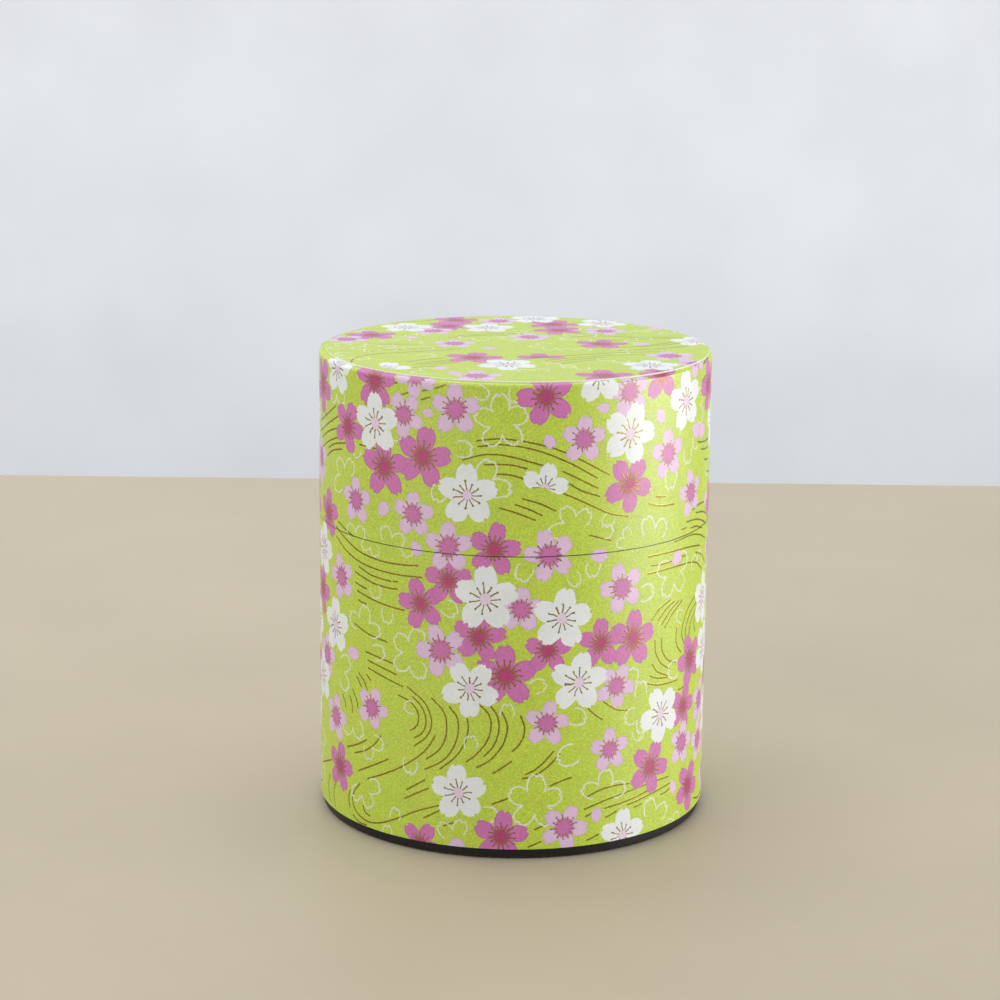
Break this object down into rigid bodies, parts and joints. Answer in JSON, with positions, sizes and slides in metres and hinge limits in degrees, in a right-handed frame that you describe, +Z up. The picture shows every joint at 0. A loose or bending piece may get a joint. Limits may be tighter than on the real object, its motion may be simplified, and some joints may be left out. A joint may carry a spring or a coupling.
{
  "type": "tea caddy",
  "caption": "Round paper-covered tinplate tea caddy with a deep outer lid that slides over a neck ring and a plug-type inner lid with a knob.",
  "frame": {"origin": "centre of the base, on the plane of the flat ring that the caddy stands on", "axes": "+Z up along the caddy's axis and the way both lids lift, -Y to the front, +X to the right seen from the front"},
  "size_m": [0.078, 0.078, 0.0934],
  "materials": {
    "printed_washi": "matte",
    "tinplate": "satin",
    "black_lacquer": "satin",
    "turned_aluminium": "satin"
  },
  "bodies": {
    "canister": {"bottom_plate": "black_lacquer", "body_barrel": "tinplate", "body_washi_wrap": "printed_washi", "neck_ring": "tinplate"},
    "inner_lid": {"inner_lid_pan": "tinplate", "inner_lid_knob": "turned_aluminium", "knob_washer": "turned_aluminium"},
    "outer_lid": {"lid_barrel": "tinplate", "lid_top_plate": "tinplate", "lid_washi_wrap": "printed_washi", "lid_washi_disc": "printed_washi"}
  },
  "joints": [
    {"name": "inner_lid_lift", "type": "slide", "parent": "canister", "child": "inner_lid", "axis": [0, 0, 1], "range_m": [0, 0.03]},
    {"name": "outer_lid_lift", "type": "slide", "parent": "inner_lid", "child": "outer_lid", "axis": [0, 0, 1], "range_m": [0, 0.045]}
  ]
}
